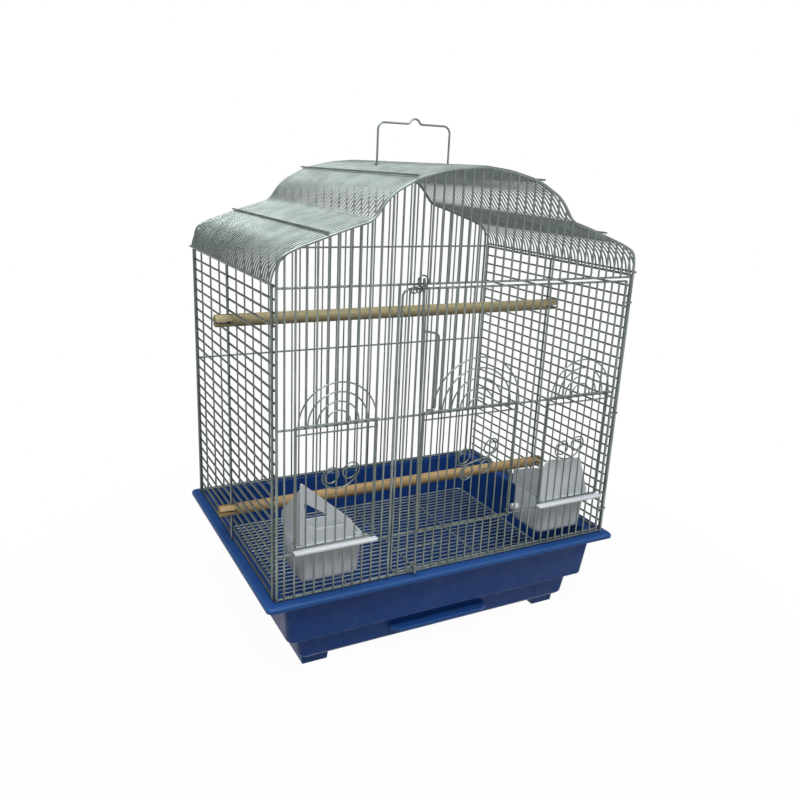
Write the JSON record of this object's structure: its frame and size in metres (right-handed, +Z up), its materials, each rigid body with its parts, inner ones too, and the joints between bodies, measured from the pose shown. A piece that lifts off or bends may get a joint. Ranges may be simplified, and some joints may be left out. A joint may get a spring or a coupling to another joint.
{
  "type": "parrot cage",
  "caption": "Domed wire bird cage on a moulded base with a hinged front door, lift-up feeder doors, hooded cups, perches, floor grille and carry handle.",
  "frame": {"origin": "middle of the cage in plan, at the bottom of the base's feet", "axes": "+X to the viewer's right along the front, -Y out of the front door side, +Z up"},
  "size_m": [0.499, 0.3572, 0.638],
  "materials": {
    "zinc_wire": "satin",
    "dark_zinc_wire": "satin",
    "floor_wire": "satin",
    "blue_plastic": "satin",
    "white_plastic": "satin",
    "pale_wood": "matte",
    "warm_wood": "matte"
  },
  "bodies": {
    "cage": {"base_tray": "blue_plastic", "floor_grille": "floor_wire", "front_panel": "zinc_wire", "back_panel": "zinc_wire", "left_side_panel": "zinc_wire", "right_side_panel": "zinc_wire", "roof_panel": "zinc_wire", "roof_tie_left": "zinc_wire", "roof_tie_right": "zinc_wire", "dome_tie_left": "zinc_wire", "dome_tie_right": "zinc_wire", "ridge_tie": "zinc_wire", "left_cup": "white_plastic", "left_hood": "white_plastic", "upper_perch": "pale_wood", "lower_perch": "warm_wood"},
    "main_door": {"main_door": "zinc_wire", "latch_knot_top": "dark_zinc_wire", "latch_knot_bottom": "dark_zinc_wire", "right_cup": "white_plastic", "right_hood": "white_plastic"},
    "left_feeder_door": {"left_feeder_door": "dark_zinc_wire", "rainbow_left": "zinc_wire", "scroll_left": "dark_zinc_wire"},
    "centre_door": {"centre_door": "dark_zinc_wire", "rainbow_centre": "zinc_wire", "scroll_centre": "dark_zinc_wire"},
    "right_feeder_door": {"right_feeder_door": "dark_zinc_wire", "rainbow_right": "zinc_wire", "scroll_right": "dark_zinc_wire"},
    "latch_rod": {"latch_rod": "dark_zinc_wire"},
    "carry_handle": {"carry_handle": "zinc_wire"}
  },
  "joints": [
    {"name": "main_door_hinge", "type": "hinge", "parent": "cage", "child": "main_door", "pos_m": [0.2305, -0.1666, 0.29], "axis": [0, 0, 1], "range_deg": [0, 110]},
    {"name": "left_feeder_lift", "type": "slide", "parent": "cage", "child": "left_feeder_door", "axis": [0, 0, 1], "range_m": [0, 0.12]},
    {"name": "centre_lift", "type": "slide", "parent": "main_door", "child": "centre_door", "axis": [0, 0, 1], "range_m": [0, 0.12]},
    {"name": "right_feeder_lift", "type": "slide", "parent": "main_door", "child": "right_feeder_door", "axis": [0, 0, 1], "range_m": [0, 0.12]},
    {"name": "latch_turn", "type": "hinge", "parent": "main_door", "child": "latch_rod", "pos_m": [-0.06622, -0.1748, 0.294], "axis": [0.0211, 0, -0.9998], "range_deg": [0, 90]},
    {"name": "handle_swing", "type": "hinge", "parent": "cage", "child": "carry_handle", "pos_m": [0.004, 0, 0.579], "axis": [1, 0, 0], "range_deg": [-65, 65]}
  ]
}
